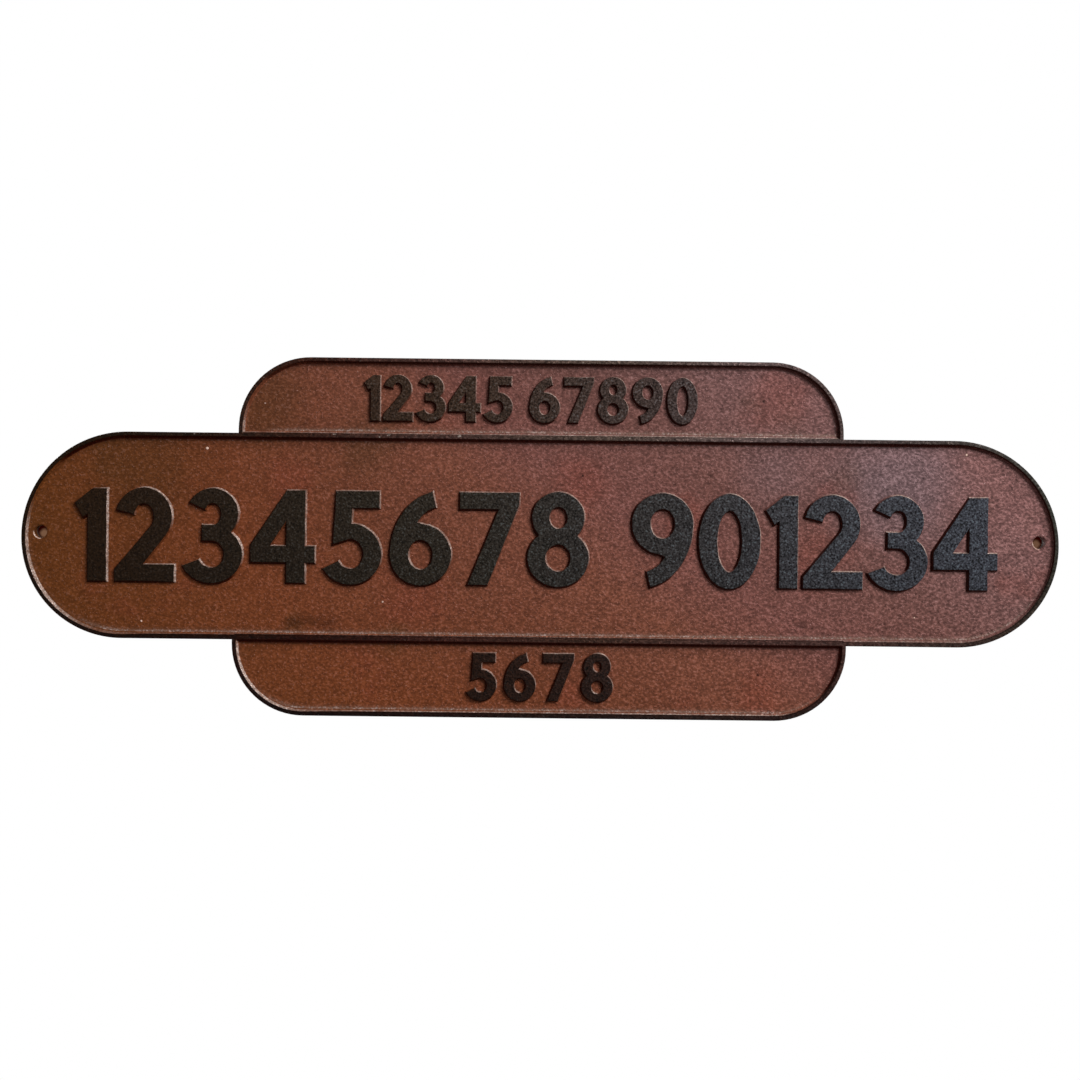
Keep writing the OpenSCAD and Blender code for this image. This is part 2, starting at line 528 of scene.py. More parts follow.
def finish_with(spot, **sockets):
    """The shader that every finish ends in. Keywords are its sockets, with _ for a space."""
    named = {name.replace("_", " "): value for name, value in sockets.items()}
    shader = spot.node("ShaderNodeBsdfPrincipled", inputs=named)
    spot.node("ShaderNodeOutputMaterial", inputs={"Surface": shader})


# %% [markdown]
# In between come a few recipes that the finishes share: where a place is, in mm and along the sign,
# which way a face looks, noise with lumps of a given size, a smooth step, and two ways to change a
# colour.

# %% Recipes that the finishes share
def axis(spot, name):
    """The X, Y or Z of a place or of a direction."""
    return spot.node("ShaderNodeSeparateXYZ", inputs={"Vector": spot}, output=name)


def along(spot):
    """The place along the sign, from -0.5 at its left end to 0.5 at its right end."""
    return axis(spot, "X") / LENGTH


def right_of(spot):
    """How many mm a place lies to the right of the middle."""
    return axis(spot, "X") / MM


def above(spot):
    """How many mm a place lies above the middle of the bar."""
    return (axis(spot, "Z") - BAR_Z) / MM


def looks(spot):
    """The way a face looks."""
    return spot.node("ShaderNodeNewGeometry", output="Normal")


def noise(spot, size, detail=2.0, roughness=0.5, kind="Fac"):
    """Noise from 0 to 1, with lumps of about this size."""
    return spot.node("ShaderNodeTexNoise", inputs={
        "Vector": spot, "Scale": 1 / size, "Detail": detail, "Roughness": roughness}, output=kind)


def ease(value, start, end):
    """0 at start and 1 at end, with a smooth step between them."""
    return value.node("ShaderNodeMapRange", {"interpolation_type": "SMOOTHSTEP"},
                      {"Value": value, "From Min": start, "From Max": end})


def mix(amount, first, second, blend="MIX"):
    """A colour on the way from the first colour to the second one."""
    return amount.node("ShaderNodeMix", {"data_type": "RGBA", "blend_type": blend},
                       {0: amount, 6: first, 7: second}, output=2)


def tone(base, value):
    """A colour made lighter or darker by a value round 1."""
    factors = value.node("ShaderNodeCombineColor", inputs={"Red": value, "Green": value, "Blue": value})
    return value.vector("MULTIPLY", base, factors)


# %% [markdown]
# ### Sand-cast grain
# Both paints lie over the skin that the sand left. It is a grain about a millimetre across, on a
# slow unevenness, so one recipe serves every finish and the grain runs on from the fields over the
# rims. Displacing the meshes would take millions of faces for grains this small, so it goes into
# a Bump node as a height. The same value lightens the tops of the grains, partly because the roller
# and the spray leave less paint there and partly as a painted highlight. A finer noise adds sharp
# grains of sand.

# %% Grain
GRAIN_SIZE = 1.1 * MM
GRAIN_CONTRAST = 3.8                       # stretches the noise, which keeps near to 0.5
GRAIN_TURN = (0, 0.6, 0)                   # so that the noise's own lattice doesn't show
GRAIN_STRETCH = (0.85, 1, 1.12)            # the grains are a little longer than they are high
SHARP_SIZE = 0.85 * MM
SHARP_HEIGHT = 1.7
SWELL_SIZE = 5 * MM                        # of the slow unevenness
SKIN_LEVEL = 0.27                          # lifts the skin, so that its hollows are near 0
SKIN_DEPTH = 0.16 * MM                     # what a height of 1 stands for


def specks(spot, size):
    """1 in specks of about this size, and 0 between them."""
    return ease(noise(spot, size, 1.0), 0.58, 0.74)


def grain(spot):
    """Height of the cast skin: 0 in the hollows, 1 on the grains and more on the sharp ones."""
    turned = spot.node("ShaderNodeMapping", inputs={
        "Vector": spot, "Rotation": GRAIN_TURN, "Scale": GRAIN_STRETCH})
    sand = (noise(turned, GRAIN_SIZE, 1.5, 0.55) - 0.5) * GRAIN_CONTRAST
    filled = larger(sand, sand * 0.5)      # the hollows are half filled with paint
    return filled + specks(spot, SHARP_SIZE) * SHARP_HEIGHT + SKIN_LEVEL


def bumped(spot, height, depth=SKIN_DEPTH):
    """The way a face looks, once the skin's height stands on it."""
    swell = noise(spot, SWELL_SIZE) * 2
    return spot.node("ShaderNodeBump", inputs={
        "Strength": 1.0, "Distance": depth, "Height": height + swell})


# %% [markdown]
# ### Back of the casting
# Nobody sees the back, so it has one thin coat of dark grey primer, and rust comes through it where
# the sand left the iron rough. It covers the hollow too, so the paints of the front give way to the
# same coat on the faces that look at the wall.

# %% Back of the casting
GREY_PRIMER = "45403c"
RUST = "70422c"
RUST_SIZE = 9 * MM
RUST_AMOUNT = 0.7


def back_coat(spot, skin):
    """Colour of the primer."""
    rust = ease(noise(spot, RUST_SIZE, 4.0, 0.65), 0.5, 0.72)
    primer = mix(rust * RUST_AMOUNT, colour(GREY_PRIMER), colour(RUST))
    return tone(primer, 0.6 + skin * 0.6)


def faces_wall(spot):
    """1 on the faces that look at the wall."""
    return ease(axis(looks(spot), "Y"), 0.3, 0.6)


def back_iron():
    """Finish of the lip and the pads, which are all back."""
    finish, spot = new_finish("back_iron")
    skin = grain(spot)
    finish_with(
        spot,
        Base_Color=back_coat(spot, skin),
        Roughness=0.75 - skin * 0.2,
        Specular_IOR_Level=0.15,
        Normal=bumped(spot, skin),
    )
    return finish


BACK_IRON = back_iron()
print("back has", len(BACK_IRON.node_tree.nodes), "nodes")

# %% [markdown]
# ### Field paint
# The fields are red-brown. The photograph shows an earthy brown at the left end that turns to a
# greyer mauve at the right, and more so at the top than at the bottom. That drift is mostly painted
# sheen and light from the lamp at the upper right, put into the base colour. A painted image would
# have to be unwrapped onto each node. A colour ramp along a slanting line gives the same drift to all
# of them at once.

# %% Drift of colour and painted sheen
SLANT = 0.0035                             # how much a mm of height counts along the ramp
# The drift's colours are mostly painted sheen and light, put into the base colour.
DRIFT_AND_SHEEN = {0.0: "5b3215", 0.2: "6a3820", 0.35: "673a28", 0.5: "6e4132", 0.62: "6c443d",
         0.76: "68453f", 0.9: "6e4e4b", 1.0: "76524f"}


def ramp_colour(value, stops):
    """The colour of a ramp at a value from 0 to 1."""
    return value.node("ShaderNodeValToRGB", {"stops": stops}, {"Fac": value})


def red_brown_and_sheen(spot):
    """The drifting colour, mostly painted sheen and light. At the left end the line hardly leans."""
    part = along(spot) + 0.5
    lean = smaller(part * 2, 1)
    return ramp_colour(part + above(spot) * lean * SLANT, DRIFT_AND_SHEEN)


print("field colour has", len(DRIFT_AND_SHEEN), "stops")

# %% [markdown]
# On it lie clouds of red primer and soot, and two patches of painted grey sheen towards the upper
# right. Noise spreads them, and patches stand where the photograph has the plainest ones. Two things
# keep a patch from looking stamped: the place is pushed about by noise before its distance from the
# patch is taken, and no patch is strong. Greasy dirt by the lower divider is smeared along the sign,
# and a few pits in the iron are dark.

# %% Clouds, smears and pits
# A patch is its x and z from the origin and its radius, in mm.
RED_PRIMER = "76382a"
RED_PATCHES = [(-52, -25, 26), (17, 22, 20), (113, -6, 22), (96, 56, 22), (90, -64, 20), (12, -64, 14)]
SOOT = "362810"
SOOT_PATCHES = [(-158, 30, 44), (-112, 54, 30), (-70, 38, 22), (126, 25, 12), (-60, -42, 12),
                (-99, -36, 9)]
# This grey and its two patches are painted sheen.
GREY_SHEEN = "6b5f65"
SHEEN_PATCH = (146, 24, 42)
FAINT_SHEEN_PATCH = (94, 26, 30)
SMEARS = [(-97, -35, 12), (-87, -37, 9), (110, -35, 10)]
PITS = [(90, 56, 0.8), (17, 25, 0.7), (89, -55, 0.8), (-46, 60, 0.6)]
RED_AMOUNT = 0.28                          # the most that each covers of what lies below
SOOT_AMOUNT = 0.35
SHEEN_PATCH_AMOUNT = 0.42
PIT_AMOUNT = 0.7
SMEAR_AMOUNT = 0.42
FAINT = 0.45                               # the faint patch of painted grey sheen, against the other one
CLOUD_SIZE = 38 * MM
SMEARED = 3                                # how many times longer than high a smear is


def drift(spot, size, reach):
    """The place pushed about by noise, so that a patch gets a ragged edge."""
    push = noise(spot, size, 3.0, kind="Color")
    centred = spot.vector("SUBTRACT", push, (0.5,) * 3)
    return spot.vector("MULTIPLY_ADD", centred, (reach,) * 3, spot)


def patch(spot, x, z, radius):
    """1 in the middle of a patch of the face, which is given in mm, and 0 outside it."""
    away = spot.vector("DISTANCE", spot, (x * MM, FIELD_Y, z * MM), output="Value")
    return ease(away, radius * MM, 0)


def patches(spot, places):
    """Several patches, added up."""
    return sum_of([patch(spot, *place) for place in places])


def smear(spot, x, z, reach):
    """A patch that is drawn out along the sign."""
    squeezed = spot.vector("MULTIPLY", spot, (1 / SMEARED, 1, 1))
    return patch(squeezed, x / SMEARED, z, reach / SMEARED)


def clouded(spot, ragged):
    """Colour of a field: the drift and its painted sheen, with its clouds and patches of painted grey
    sheen.
    """
    clouds = noise(spot, CLOUD_SIZE, 3.0, 0.55)
    red = patches(ragged, RED_PATCHES) + ease(clouds, 0.56, 0.75)
    soot = patches(ragged, SOOT_PATCHES) + ease(clouds, 0.42, 0.25) * 0.7
    sheen_patches = patch(ragged, *SHEEN_PATCH) + patch(ragged, *FAINT_SHEEN_PATCH) * FAINT
    painted = mix(ease(red, 0, 1) * RED_AMOUNT, red_brown_and_sheen(spot), colour(RED_PRIMER))
    sooty = mix(ease(soot, 0, 1) * SOOT_AMOUNT, painted, colour(SOOT))
    return mix(ease(sheen_patches, 0, 1) * SHEEN_PATCH_AMOUNT, sooty, colour(GREY_SHEEN))


def marked(spot, ragged):
    """How much light the pits and smears leave."""
    pits = ease(patches(spot, PITS), 0, 0.5) * PIT_AMOUNT
    smears = sum_of([smear(ragged, *place) for place in SMEARS]) * SMEAR_AMOUNT
    return (1 - pits) * (1 - smears)


# %% [markdown]
# A painted shadow darkens the foot of a rim where it shades the field, and a painted highlight,
# pale like dust, lies on the side that the light reaches. Both need the distance to the rim. Each
# field has a simple outline, so the distance is a short sum: from a line to the round end of the bar,
# or from a corner's centre to a lobe's rim.
# The place is moved towards the light or away from it first, which picks one side of the outline.

# %% Distance to the rims
RIM_WIDTH = 3.0 * MM                       # from the outer edge to the foot of the rim
LOBE_CORNER = 29.4 * MM                    # outer radius of a lobe's corners
BEAD_FOOT = 0.9 * MM                       # how far a divider's foot stands outside the bar
TOWARDS_LIGHT = Vector((0.7, 0, 0.7))


def to_corner(x, z):
    """How far a point lies out from a corner's centre."""
    both = x.node("ShaderNodeCombineXYZ", inputs={"X": larger(x, 0), "Y": larger(z, 0)})
    return x.vector("LENGTH", both, output="Value")


def bar_room(spot):
    """How far inside the bar's rim a place is."""
    x = size_of(axis(spot, "X")) - (LENGTH / 2 - BAR_R)
    z = size_of(axis(spot, "Z") - BAR_Z)
    return (BAR_R - RIM_WIDTH) - to_corner(x, z)


def lobe_room(name, up):
    """A recipe for how far inside a lobe's rim and divider a place is."""
    low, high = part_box(name)
    half_width = (high.x - low.x) / 2
    reach = max(abs(low.z - BAR_Z), abs(high.z - BAR_Z))

    def room(spot):
        out = (axis(spot, "Z") - BAR_Z) * up
        corner = to_corner(size_of(axis(spot, "X")) - (half_width - LOBE_CORNER),
                           out - (reach - LOBE_CORNER))
        return smaller((LOBE_CORNER - RIM_WIDTH) - corner, out - (BAR_R + BEAD_FOOT))

    return room


def by_rim(spot, room, moved, start, end):
    """0 where the rim is start mm away and 1 where it is end mm away, for a place that is first
    moved towards the light by some mm."""
    shifted = spot.vector("ADD", spot, TOWARDS_LIGHT * (moved * MM))
    return ease(room(shifted) / MM, start, end)


# %% [markdown]
# With that distance, a painted shade and a darker painted shadow in the foot darken the field below
# and to the left of a rim, and a painted highlight lies above and to the right of one. Near its left
# end a field has none, because the rim there holds that highlight on its own side. The highlight is
# never even, so bright painted glints are strewn in it.

# %% Painted shade, shadow and highlight
DUST_AND_HIGHLIGHT = ("7e665a", "c4b0a8")                # painted highlight, pale like dust: its plain colour and its bright glints
DUST_GLINT_SIZE = 0.7 * MM
HIGHLIGHT_FADE = 20                          # mm over which a field's painted highlight fades to the left
SHADOW_THINS = (150, 190)                        # mm to the right, over which the painted shadow in the feet gets lighter
SHADE_AMOUNT = 0.2
FOOT_SHADOW_AMOUNT = 0.6
HAZE_AMOUNT = 0.1                          # of the thin painted highlight round the main band


def shaded(spot, room):
    """How much light the painted shade of the rims, and the darker painted shadow in their feet, leave.
    """
    # Painted shade under the rims, and a darker painted shadow in their feet.
    shade = by_rim(spot, room, 3, 2.5, -1.5) * SHADE_AMOUNT
    shadow_thinned = 1 - ease(right_of(spot), *SHADOW_THINS) * 0.6
    foot_shadow = by_rim(spot, room, 1.5, 0.2, -1.05) * shadow_thinned * FOOT_SHADOW_AMOUNT
    return (1 - shade) * (1 - foot_shadow)


def highlight_by_rims(spot, room, highlight_from):
    """How much painted highlight, pale like dust, lies by the rims."""
    faded_end = 1 - ease(right_of(spot), highlight_from, highlight_from - HIGHLIGHT_FADE) * 0.95
    # Painted highlight along the rims' lit side.
    lit_haze = by_rim(spot, room, -2, 1.3, -1.6) * HAZE_AMOUNT
    uneven = noise(spot, 4 * MM) * 0.8 + 0.1
    lit_band = by_rim(spot, room, -1.2, 0.5, -0.85) * uneven
    return (lit_haze + lit_band) * faded_end


def highlighted(spot, amount, base, plain, sparkle):
    """A painted highlight over a colour, pale like dust, with bright painted glints in it."""
    grains = ease(noise(spot, DUST_GLINT_SIZE, 2.0, 0.6), 0.5, 0.66)
    highlight_colour = mix(grains, colour(plain), colour(sparkle))
    return mix(amount, base, highlight_colour)


# %% [markdown]
# The paint of a field puts these together. The tops of the grains are lighter than the hollows,
# partly as a painted highlight, and more so to the right, as painted light where the lamp is nearer.
# They also carry a faint painted grey sheen. The broken edge of a screw hole gets a painted highlight
# where it is turned to the light. Paint on old iron hardly shines, so the shader's specular level is
# low.

# %% Field paint
PATCH_RAG = (14 * MM, 16 * MM)             # size and reach of the noise that pushes patches about
GRAIN_TOP = 1.3                            # higher grains than this aren't lighter
SPECKLE = 0.72                             # how much a grain lightens the paint in the middle
SPECKLE_DRIFT = 0.42                       # and how much that grows along the sign, as painted light from the nearer lamp
PAINTED_SHEEN = "7c7c84"
PAINTED_SHEEN_AMOUNT = 0.09
HOLE_HIGHLIGHT = ("b89888", "f0dcd0")
HOLE_HIGHLIGHT_AMOUNT = 0.8
PAINT_ROUGHNESS = 0.55
PAINT_SPECULAR = 0.04


def speckled(spot, skin):
    """How light the paint is, round 1, from its grain, with painted light on the grain that grows to
    the right, and from its uneven thickness.
    """
    uneven = (noise(spot, 3.5 * MM) - 0.5) * 0.35
    grains = smaller(skin, GRAIN_TOP) - 0.5
    return grains * (along(spot) * SPECKLE_DRIFT + SPECKLE) + uneven + 1


def turned_to_light(spot):
    """How far a face looks up and to the right, from -1 to 1."""
    return spot.vector("DOT_PRODUCT", looks(spot), TOWARDS_LIGHT, output="Value")


def field_paint(name, room, highlight_from):
    """Paint of a field. Left of the given mm, the painted highlight lies on the rim's own side instead.
    """
    finish, spot = new_finish(name)
    ragged = drift(spot, *PATCH_RAG)
    skin = grain(spot)
    light = speckled(spot, skin) * shaded(spot, room) * marked(spot, ragged)
    front = tone(clouded(spot, ragged), light)
    # Painted sheen on the tops of the grains.
    with_sheen = mix(ease(skin, 0.6, GRAIN_TOP) * PAINTED_SHEEN_AMOUNT, front, colour(PAINTED_SHEEN))
    dust_and_highlight = highlighted(spot, highlight_by_rims(spot, room, highlight_from), with_sheen, *DUST_AND_HIGHLIGHT)
    deep = (axis(spot, "Y") - FIELD_Y) / MM                    # mm behind the front of the field
    # Painted highlight on the lit side of a screw hole's broken edge.
    lit_edge = ease(turned_to_light(spot), 0.38, 0.62) * ease(deep, 0.5, 0.3)
    hole_lit = highlighted(spot, lit_edge * HOLE_HIGHLIGHT_AMOUNT, dust_and_highlight, *HOLE_HIGHLIGHT)
    behind = faces_wall(spot)
    finish_with(
        spot,
        Base_Color=mix(behind, hole_lit, back_coat(spot, skin)),
        Roughness=PAINT_ROUGHNESS - skin * 0.2 + behind * 0.2,
        Specular_IOR_Level=PAINT_SPECULAR,
        Normal=bumped(spot, skin),
    )
    return finish


BAR_PAINT = field_paint("bar_field_paint", bar_room, -170)
UPPER_PAINT = field_paint("upper_field_paint", lobe_room("upper_rim", 1), -95)
LOWER_PAINT = field_paint("lower_field_paint", lobe_room("lower_rim", -1), -95)
print("field paint has", len(BAR_PAINT.node_tree.nodes), "nodes")

# %% [markdown]
# ### Paint of the raised work
# A roller leaves black on the faces alone. Its ramps run from a warm black at the left to a colder,
# lighter one at the right, which is painted sheen from the stronger light there. On the characters it
# is stippled, more strongly to the right, partly as painted light, with painted blue-green glints. The
# rims' black is greyer towards the top of the sign and darker and redder towards the bottom, and it
# is nicked where the rims are knocked.

# %% Rolled black
# Both ramps turn colder and lighter to the right as painted sheen.
BLACK_AND_SHEEN = {0.0: "1b1006", 0.1: "1c1108", 0.26: "1e1710", 0.42: "231e18", 0.6: "282524", 0.8: "2e2e32",
         1.0: "303239"}
RIM_BLACK_AND_SHEEN = {0.0: "160a02", 0.16: "180f08", 0.27: "24120c", 0.41: "352420", 0.56: "3a302a",
             0.71: "483b39", 0.84: "39302e", 1.0: "2b2b26"}
BLUE_GLINT = "56646a"
NICK = "8c8078"
STIPPLE_SIZE = 0.8 * MM
STIPPLE = 3.2                              # its strength at the left end
STIPPLE_DRIFT = 2.6                        # and how much stronger it is at the right end, partly as painted light
BLUE_GLINT_AMOUNT = 0.45
NICK_SIZE = 2.2 * MM
NICK_AMOUNT = 0.7
# These multiply a colour, so they are plain factors for red, green and blue.
LOW_FIGURES = (0.95, 0.5, 0.4, 1)
HIGH_FIGURES = (1.3, 0.95, 0.85, 1)
LOW_RIMS = (1, 0.6, 0.5, 1)


def figure_face(spot, skin):
    """Rolled black of the characters. It has a stipple of its own, so it doesn't use the skin."""
    high = above(spot)
    part = along(spot) + 0.5
    stipple = (noise(spot, STIPPLE_SIZE, 2.0, 0.6) - 0.5) * (part * STIPPLE_DRIFT + STIPPLE) + 1
    black = tone(ramp_colour(part, BLACK_AND_SHEEN), larger(stipple, 0.1) * (high * 0.006 + 1))
    lower = mix(ease(high, -30, -50), black, LOW_FIGURES, "MULTIPLY")
    ruddy = mix(ease(high, 30, 50), lower, HIGH_FIGURES, "MULTIPLY")
    # Painted blue-green glints, growing to the right.
    blue_glint = specks(spot, STIPPLE_SIZE) * (part * BLUE_GLINT_AMOUNT) * ease(high, -50, -20)
    return mix(blue_glint, ruddy, colour(BLUE_GLINT))


def rim_face(spot, skin):
    """Rolled black of the rims: greyer towards the top, darker and redder towards the bottom."""
    high = above(spot)
    lifted = sum_of([ease(high, -75, -45) * 0.55, ease(high, -40, 40) * 0.55, ease(high, 45, 75) * 0.3])
    rolled = ramp_colour(along(spot) + 0.5, RIM_BLACK_AND_SHEEN)
    ruddy = mix(ease(high, 10, -50) * 0.85, rolled, LOW_RIMS, "MULTIPLY")
    black = tone(ruddy, (skin + 0.5) * (lifted + 0.2))
    nick = ease(noise(spot, NICK_SIZE), 0.7, 0.76) * ease(high, -60, 20) * NICK_AMOUNT
    return mix(nick, black, colour(NICK))


# %% [markdown]
# The sides of the raised work are brown like the fields. Those that look up and to the right get a
# painted highlight, pale like dust, with glints in specks, and the others get a painted shade. The
# outer edge of the casting is upright, and is black again.

# %% Sides of the raised work
SIDE_HIGHLIGHT = ("a48c80", "ecdcd4")
SIDE_SHADE = "280500"
SIDE_SHADE_FADE = (165, 195)                       # mm to the right, over which the painted shade gets lighter
EDGE_BLACK = "140e0b"


def flank(spot, skin, turned, dust_and_highlight, soot):
    """Colour of a sloping side, from how far it is turned to the light: a painted highlight on the lit
    side and a painted shade on the other.
    """
    patchy = ease(noise(spot, SWELL_SIZE), 0.3, 0.6) * 0.55 + 0.4
    # Painted highlight on the sides turned to the light.
    lit = highlighted(spot, ease(turned, 0.3, 0.85) * patchy * dust_and_highlight, red_brown_and_sheen(spot), *SIDE_HIGHLIGHT)
    shade_left = (1 - ease(right_of(spot), *SIDE_SHADE_FADE) * 0.4) * soot
    # Painted shade on the sides turned from the light.
    sooty = mix(ease(turned, 0.02, -0.12) * shade_left, lit, colour(SIDE_SHADE))
    return tone(sooty, 0.7 + skin * 0.6)


def with_edge(spot, base):
    """A colour with black on the faces that look along the wall."""
    upright = ease(size_of(axis(looks(spot), "Y")), 0.15, 0.08)
    return mix(upright, base, colour(EDGE_BLACK))


# %% [markdown]
# Both meet at a depth below the faces. Their border is noisy, because a roller never stops at a
# line. On the characters the black ends at the arris, and on the narrow rims it runs further down.
# Round an arris that is turned from the light, a third colour, a painted shade, takes over from the
# face's.

# %% Paint of the raised work
BORDER = 0.08                              # half of the border's width, in mm
BORDER_SIZE = 1.6 * MM                     # of the noise that moves it
BORDER_RAG = 0.5                           # how far that moves it, in mm
ARRIS_TURN = 0.25                          # how much further an arris turns until it is all dark


def raised_paint(name, paint_face, black_to, dust_and_highlight, arris=-0.28, away="240400", soot=0.95):
    """Paint of raised work. Its faces' recipe reaches down to a depth in mm, and round an arris
    until that is turned from the light by a given amount, where another colour, a painted shade, takes
    over. That depth, and how much painted highlight the lit sides carry, are sums of the place along
    the sign. The soot argument sets how strong the painted shade is on the sides turned from the light."""
    finish, spot = new_finish(name)
    skin = grain(spot)
    turned = turned_to_light(spot)
    # Painted shade round an arris that is turned from the light.
    face = mix(ease(turned, arris, arris - ARRIS_TURN) * 0.9, paint_face(spot, skin), colour(away))
    x = along(spot)
    sides = with_edge(spot, flank(spot, skin, turned, dust_and_highlight(x), soot))
    ragged = (noise(spot, BORDER_SIZE, 3.0, 0.6) - 0.5) * BORDER_RAG
    down = (axis(spot, "Y") - FACE_Y) / MM + ragged
    depth = black_to(x)
    front = mix(ease(down, depth + BORDER, depth - BORDER), sides, face)
    finish_with(
        spot,
        Base_Color=mix(faces_wall(spot), front, back_coat(spot, skin)),
        Roughness=PAINT_ROUGHNESS - skin * 0.2,
        Specular_IOR_Level=PAINT_SPECULAR,
        Normal=bumped(spot, skin),
    )
    return finish


# %% [markdown]
# Each rim and divider gets its own mix of this paint, because the photograph shows more black on one
# and more painted highlight on another. The two numbers that differ most also change along a rim, so
# they are given as sums of the place along the sign: the depth of the black first, then the painted
# highlight.

# %% Paint of each rim
def even(value):
    """A sum that is the same all along the sign."""
    return lambda x: value


# In these calls, away is the colour of the painted shade round an arris, and soot the strength of the
# painted shade on the sides.
FIGURE_PAINT = raised_paint(
    "figure_paint", figure_face, even(0.3), lambda x: x * x * 3.6 + x * 0.35 + 0.75,
    arris=-0.02, away="140401")
LEFT_RIM_PAINT = raised_paint(
    "left_rim_paint", rim_face,
    lambda x: ease(x, -0.41, -0.37) * 0.9 + 0.3,
    lambda x: ease(x, -0.43, -0.48) * 0.75 + 0.25)
RIGHT_RIM_PAINT = raised_paint(
    "right_rim_paint", rim_face, even(0.9), lambda x: ease(x, 0.38, 0.42) * 0.28 + 0.6)
UPPER_RIM_PAINT = raised_paint(
    "upper_rim_paint", rim_face,
    lambda x: ease(x, -0.25, -0.2) * 1.05 + 0.3,
    lambda x: ease(x, -0.24, -0.28) * 0.5 + x * 1.1 + 0.8, soot=0.78)
LOWER_RIM_PAINT = raised_paint(
    "lower_rim_paint", rim_face,
    lambda x: ease(x, -0.26, -0.16) * 0.7 + 0.45,
    lambda x: ease(x, -0.22, -0.27) * 0.7 + x * 1.2 + 0.85)
UPPER_BEAD_PAINT = raised_paint(
    "upper_divider_paint", rim_face, even(0.95), lambda x: x * 1.1 + 0.75)
# Round the lower divider's arris the painted shade starts sooner.
LOWER_BEAD_PAINT = raised_paint(
    "lower_divider_paint", rim_face, even(1.85), lambda x: x * 1.1 + 0.8, arris=-0.1)
print("paint of the raised work has", len(UPPER_RIM_PAINT.node_tree.nodes), "nodes")

# %% [markdown]
# ### Rubbed lumps
# The lumps are knocked whenever the sign is wiped, so the paint is gone from their tops and the iron
# shows there, bared by wear and made pale as a painted glint, with paint left round the foot. The
# height above the field tells the two apart, and a little noise keeps the line between them from
# being straight.

# %% Rubbed lumps
LUMP_FOOT = "70463a"
WORN_IRON_AND_GLINT = "c8aa9a"
LUMP_SKIN = 0.1 * MM                       # the skin is shallower on a lump


def rubbed_lump():
    """Finish of a lump: bare on top, pale as a painted glint, with paint round its foot."""
    finish, spot = new_finish("rubbed_lump")
    up = (FIELD_Y - axis(spot, "Y")) / MM + noise(spot, 0.6 * MM) * 0.2
    finish_with(
        spot,
        Base_Color=mix(ease(up, 0.1, 0.3), colour(LUMP_FOOT), colour(WORN_IRON_AND_GLINT)),
        Roughness=0.4,
        Specular_IOR_Level=0.3,
        Normal=bumped(spot, grain(spot), LUMP_SKIN),
    )
    return finish


RUBBED = rubbed_lump()
print("rubbed lumps have", len(RUBBED.node_tree.nodes), "nodes")

# %% [markdown]
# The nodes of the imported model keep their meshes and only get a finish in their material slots. The
# figures and lumps have no slots yet, so theirs are added.

# %% Put the finishes on
NODES_OF = {
    "centre_field": BAR_PAINT, "upper_field": UPPER_PAINT, "lower_field": LOWER_PAINT,
    "left_end_rim": LEFT_RIM_PAINT, "right_end_rim": RIGHT_RIM_PAINT, "upper_rim": UPPER_RIM_PAINT,
    "lower_rim": LOWER_RIM_PAINT, "upper_divider": UPPER_BEAD_PAINT, "lower_divider": LOWER_BEAD_PAINT,
    "wall_lip": BACK_IRON, "left_screw_pad": BACK_IRON, "right_screw_pad": BACK_IRON,
}
for name, finish in NODES_OF.items():
    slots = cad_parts[name].material_slots
    for slot in slots:
        slot.material = finish
    print(name, "has", len(slots), "material slot")
for pieces, finish in ((figures, FIGURE_PAINT), (lumps, RUBBED)):
    for piece in pieces:
        piece.data.materials.clear()
        piece.data.materials.append(finish)

# %% [markdown]
# ## Studio
# The background is white only where the camera looks at it, through Light Path, so that it adds no
# light to the sign. What the world does add is a weak fill, which keeps the shadows open.

# %% World
FILL = 0.2
WHITE = (1, 1, 1, 1)
world = bpy.data.worlds.new("studio")
world.use_nodes = True
world.node_tree.nodes.clear()
bpy.context.scene.world = world


def seen(spot):
    """1 for rays that show the background: from the camera, a reflection or a lens."""
    rays = [spot.node("ShaderNodeLightPath", output=f"Is {kind} Ray")
            for kind in ("Camera", "Glossy", "Transmission")]
    return larger(larger(rays[0], rays[1]), rays[2])


sky = Wire(world.node_tree)
level = FILL + seen(sky) * (1 - FILL)
background = sky.node("ShaderNodeBackground", inputs={"Color": WHITE, "Strength": level})
sky.node("ShaderNodeOutputWorld", inputs={"Surface": background})
print("world fills the shadows with", FILL)

# %% [markdown]
# A pale floor lies well below the sign, out of the photograph's view, and fades into the white
# towards its edge, so that no horizon shows from other sides.

# %% Floor
FLOOR_Z = -0.52
FLOOR_R = 0.9
PALE = (0.8, 0.8, 0.8, 1)


def floor_finish():
    """Pale paint in the middle, and the background's white towards the edge."""
    finish, spot = new_finish("floor")
    flat_spot = spot.vector("MULTIPLY", spot, (1, 1, 0))
    away = spot.vector("LENGTH", flat_spot, output="Value")
    pale = spot.node("ShaderNodeBsdfDiffuse", inputs={"Color": PALE})
    white = spot.node("ShaderNodeEmission", inputs={"Color": WHITE, "Strength": 1.0})
    clear = ease(away, FLOOR_R * 0.45, FLOOR_R * 0.95) * seen(spot)
    both = spot.node("ShaderNodeMixShader", inputs={0: clear, 1: pale, 2: white})
    spot.node("ShaderNodeOutputMaterial", inputs={"Surface": both})
    return finish


bpy.ops.object.select_all(action="DESELECT")
bpy.ops.mesh.primitive_circle_add(vertices=96, radius=FLOOR_R, fill_type="NGON")
floor = bpy.context.object
floor.name = "floor"
place(floor, location=(0, 0, FLOOR_Z))
floor.data.materials.append(floor_finish())
print("floor is", FLOOR_R * 2, "m across")

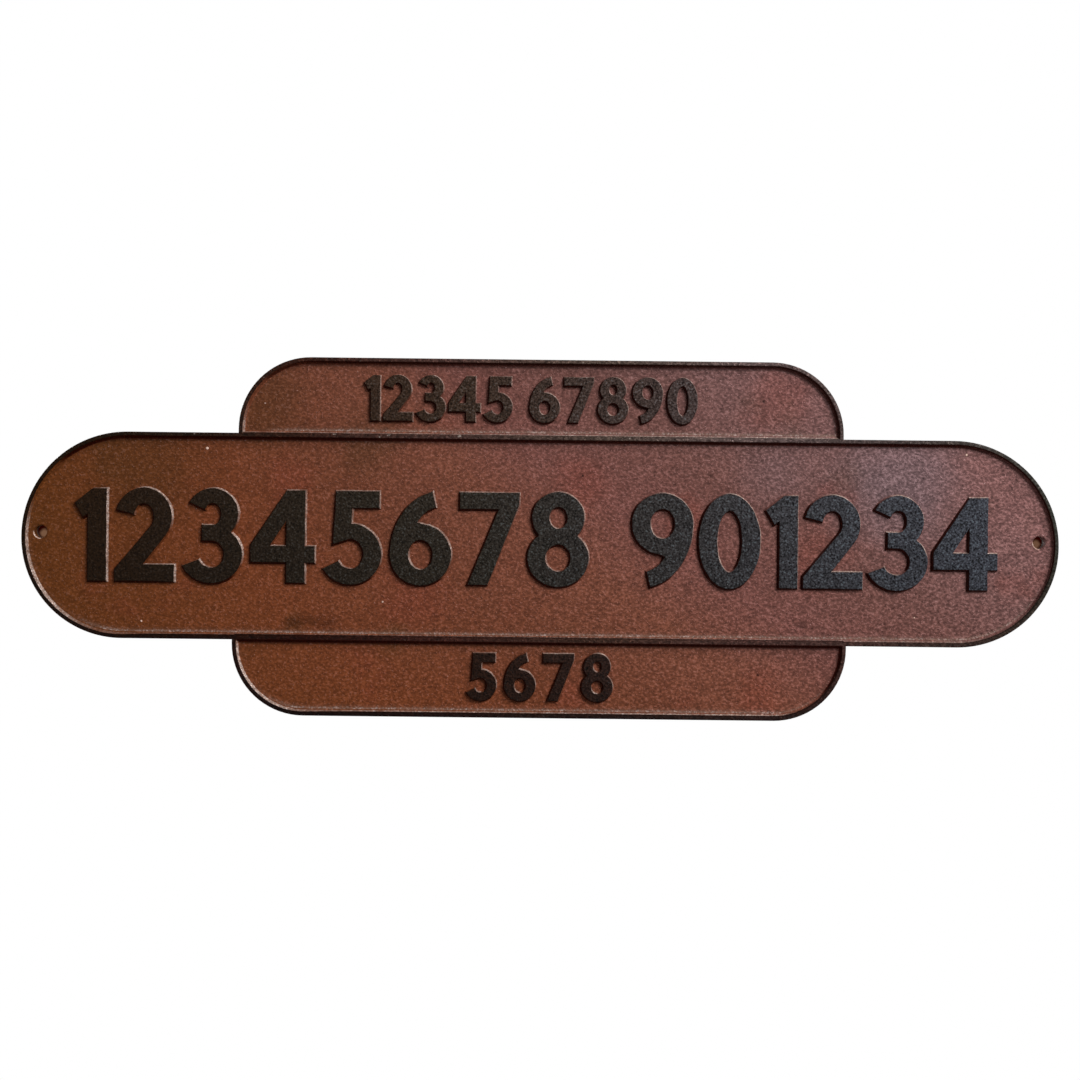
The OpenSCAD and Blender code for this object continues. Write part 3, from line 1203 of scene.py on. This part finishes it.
# %% [markdown]
# Behind each screw hole is a scrap of wall that glows with painted shade in dark red and a painted
# pool of light in brown, because the empty holes in the photograph look dark red, with a brown spot
# where light falls through them. A whole wall would darken the white round the sign. The scrap can
# only be seen from the front, and casts no shadow, so the open hole still shows from behind.

# %% Painted shade and light behind the screw holes
SCRAP_R = 5 * MM
SCRAP_Y = 0.05 * MM                        # just behind the wall plane
LIGHT_SPOT_DROP = 0.7 * MM                       # the painted pool of light lies this far below the hole's middle
HOLE_PAINTED_SHADE = "240301"
PAINTED_LIGHT_SPOTS = {"left": "74543f", "right": "6a4c3a"}


def backdrop_finish(middle, lit):
    """Painted shade in dark red with a painted pool of light, glowing as an emission, which only rays
    from the front can see.
    """
    finish, spot = new_finish("backdrop")
    away = spot.vector("DISTANCE", spot, (middle.x, SCRAP_Y, middle.z - LIGHT_SPOT_DROP), output="Value")
    ragged = away / MM + noise(spot, 2 * MM) * 1.2
    # Painted shade in dark red round a painted pool of light.
    shade = mix(ease(ragged, 3.0, 1.4), colour(HOLE_PAINTED_SHADE), colour(lit))
    front = spot.node("ShaderNodeEmission", inputs={"Color": shade})
    nothing = spot.node("ShaderNodeBsdfTransparent")
    behind = spot.node("ShaderNodeNewGeometry", output="Backfacing")
    shown = seen(spot) * (1 - behind)
    both = spot.node("ShaderNodeMixShader", inputs={0: shown, 1: nothing, 2: front})
    spot.node("ShaderNodeOutputMaterial", inputs={"Surface": both})
    return finish


for hand, lit in PAINTED_LIGHT_SPOTS.items():
    low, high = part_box(f"{hand}_screw_pad")
    middle = (low + high) / 2
    bpy.ops.object.select_all(action="DESELECT")
    bpy.ops.mesh.primitive_circle_add(vertices=24, radius=SCRAP_R, fill_type="NGON")
    scrap = bpy.context.object
    scrap.name = f"{hand}_backdrop"
    place(scrap, location=(middle.x, SCRAP_Y, middle.z), rotation=(QUARTER, 0, 0))
    scrap.data.materials.append(backdrop_finish(middle, lit))
    print(scrap.name, "is at x", round(middle.x / MM, 1), "mm")

# %% [markdown]
# The light in the photograph comes from the upper right, at about 40 degrees to the face's own
# direction: every upper and right-hand flank is bright and the others are dark. One large soft
# lamp stands there, because a sun's shadows would be harder than the photograph's, and the world
# fills them in. A weaker lamp behind the sign shows its back.

# %% Lamps
LAMP_SIZE = 0.6
KEY_TILT = math.radians(40)                # from the face's own direction
KEY_TURN = math.radians(45)                # from the right, upwards
KEY_AWAY = 1.6
KEY_WATTS = 30
BACK_PLACE = (-0.9, 1.4, 0.25)
BACK_WATTS = 14


def softbox(name, location, watts):
    """A square lamp that looks at the middle of the bar."""
    bpy.ops.object.light_add(type="AREA", location=location)
    lamp = bpy.context.object
    lamp.name = name
    lamp.data.size = LAMP_SIZE
    lamp.data.energy = watts
    aim = Vector((0, 0, BAR_Z)) - Vector(location)
    lamp.rotation_euler = aim.to_track_quat("-Z", "Y").to_euler()
    print(name, "gives", watts, "W")


key_out = KEY_AWAY * math.sin(KEY_TILT)
key_place = (key_out * math.cos(KEY_TURN), -KEY_AWAY * math.cos(KEY_TILT), key_out * math.sin(KEY_TURN))
softbox("key_lamp", key_place, KEY_WATTS)
softbox("back_lamp", BACK_PLACE, BACK_WATTS)
